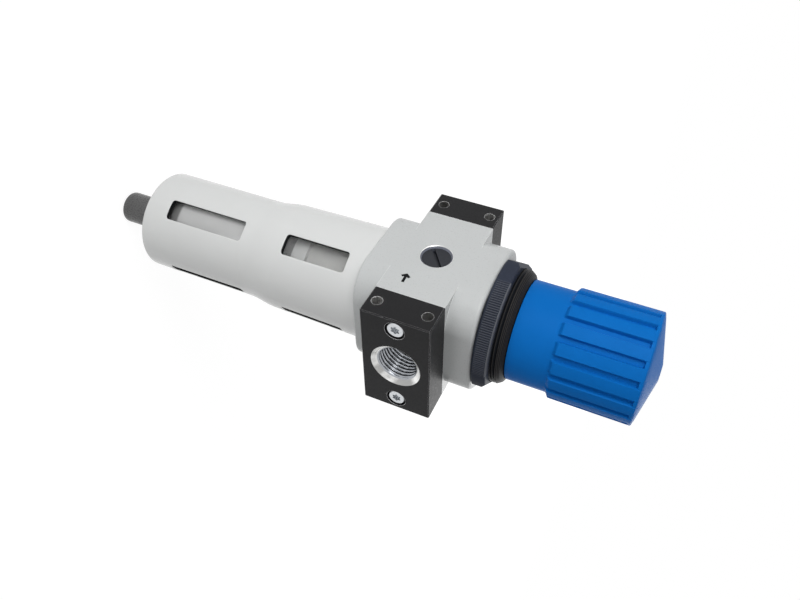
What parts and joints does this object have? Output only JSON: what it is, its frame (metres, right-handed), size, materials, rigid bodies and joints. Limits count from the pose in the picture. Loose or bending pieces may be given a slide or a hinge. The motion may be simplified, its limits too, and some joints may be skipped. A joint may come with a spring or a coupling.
{
  "type": "air pressure regulator",
  "caption": "Modular compressed-air filter regulator: ribbed adjusting knob above a square ported body, clear filter bowl in a windowed metal guard with a drain knob below.",
  "frame": {"origin": "where the axis through both ports crosses the main axis, at the centre of the body and of the wall-fixing pattern", "axes": "+Z along the main axis towards the adjusting knob, +X out of the inlet port, -Y out of the front face with the flow arrow"},
  "size_m": [0.085, 0.0612, 0.2746],
  "materials": {
    "grey_paint": "satin",
    "black_anodised": "satin",
    "black_metal": "satin",
    "blue_plastic": "satin",
    "black_plastic": "matte",
    "clear_plastic": "clear polycarbonate",
    "white_plastic": "satin",
    "porous_plastic": "rough",
    "zinc_steel": "zinc plated",
    "spring_steel": "plain",
    "brass": "turned",
    "aluminium": "turned",
    "rubber": "matte"
  },
  "bodies": {
    "housing": {"body": "grey_paint", "inlet_plate": "black_anodised", "outlet_plate": "black_anodised", "inlet_plate_screws": "zinc_steel", "outlet_plate_screws": "zinc_steel", "inlet_plate_seal": "rubber", "outlet_plate_seal": "rubber", "front_gauge_plug": "black_plastic", "rear_gauge_plug": "black_plastic", "bonnet": "black_metal", "diaphragm": "rubber", "valve_seat": "brass", "valve_guide": "black_plastic", "valve_spring": "spring_steel", "deflector": "white_plastic", "filter_element": "porous_plastic", "baffle_disc": "white_plastic", "filter_rod": "white_plastic"},
    "ring": {"ring_nut": "black_metal"},
    "spindle": {"adjusting_screw": "zinc_steel"},
    "knob": {"adjusting_knob": "blue_plastic"},
    "carriage": {"spring_nut": "brass", "main_spring": "spring_steel"},
    "valve": {"diaphragm_plate": "aluminium", "diaphragm_washer": "aluminium", "valve_pin": "brass", "poppet_seal": "rubber", "valve_poppet": "brass"},
    "bowl_unit": {"bowl": "clear_plastic", "bowl_seal": "rubber", "drain_stem": "black_plastic", "drain_seal": "rubber"},
    "guard": {"bowl_guard": "grey_paint"},
    "drain": {"drain_knob": "black_plastic"}
  },
  "joints": [
    {"name": "knob_turn", "type": "hinge", "parent": "housing", "child": "spindle", "pos_m": [0, 0, 0.06], "axis": [0, 0, 1], "range_deg": [-1800, 0]},
    {"name": "knob_pull", "type": "slide", "parent": "spindle", "child": "knob", "axis": [0, 0, 1], "range_m": [0, 0.004]},
    {"name": "spring_nut_travel", "type": "slide", "parent": "housing", "child": "carriage", "axis": [0, 0, 1], "range_m": [-0.0075, 0], "deforming": ["main_spring"]},
    {"name": "valve_stroke", "type": "slide", "parent": "housing", "child": "valve", "axis": [0, 0, -1], "range_m": [0, 0.0012], "stiffness_N_per_m": 1500, "springref_m": -0.003, "deforming": ["valve_spring", "diaphragm"]},
    {"name": "ring_turn", "type": "hinge", "parent": "housing", "child": "ring", "pos_m": [0, 0, 0.032], "axis": [0, 0, 1], "range_deg": [0, 1440]},
    {"name": "bowl_drop", "type": "slide", "parent": "housing", "child": "bowl_unit", "axis": [0, 0, -1], "range_m": [0, 0.006]},
    {"name": "guard_turn", "type": "hinge", "parent": "bowl_unit", "child": "guard", "pos_m": [0, 0, -0.06], "axis": [0, 0, -1], "range_deg": [0, 1080]},
    {"name": "drain_turn", "type": "hinge", "parent": "bowl_unit", "child": "drain", "pos_m": [0, 0, -0.16], "axis": [0, 0, -1], "range_deg": [0, 180]}
  ],
  "couplings": [
    {"joint": "spring_nut_travel", "follows": "knob_turn", "m_per_rad": 0.00023873},
    {"joint": "bowl_drop", "follows": "guard_turn", "m_per_rad": 0.00031831}
  ]
}
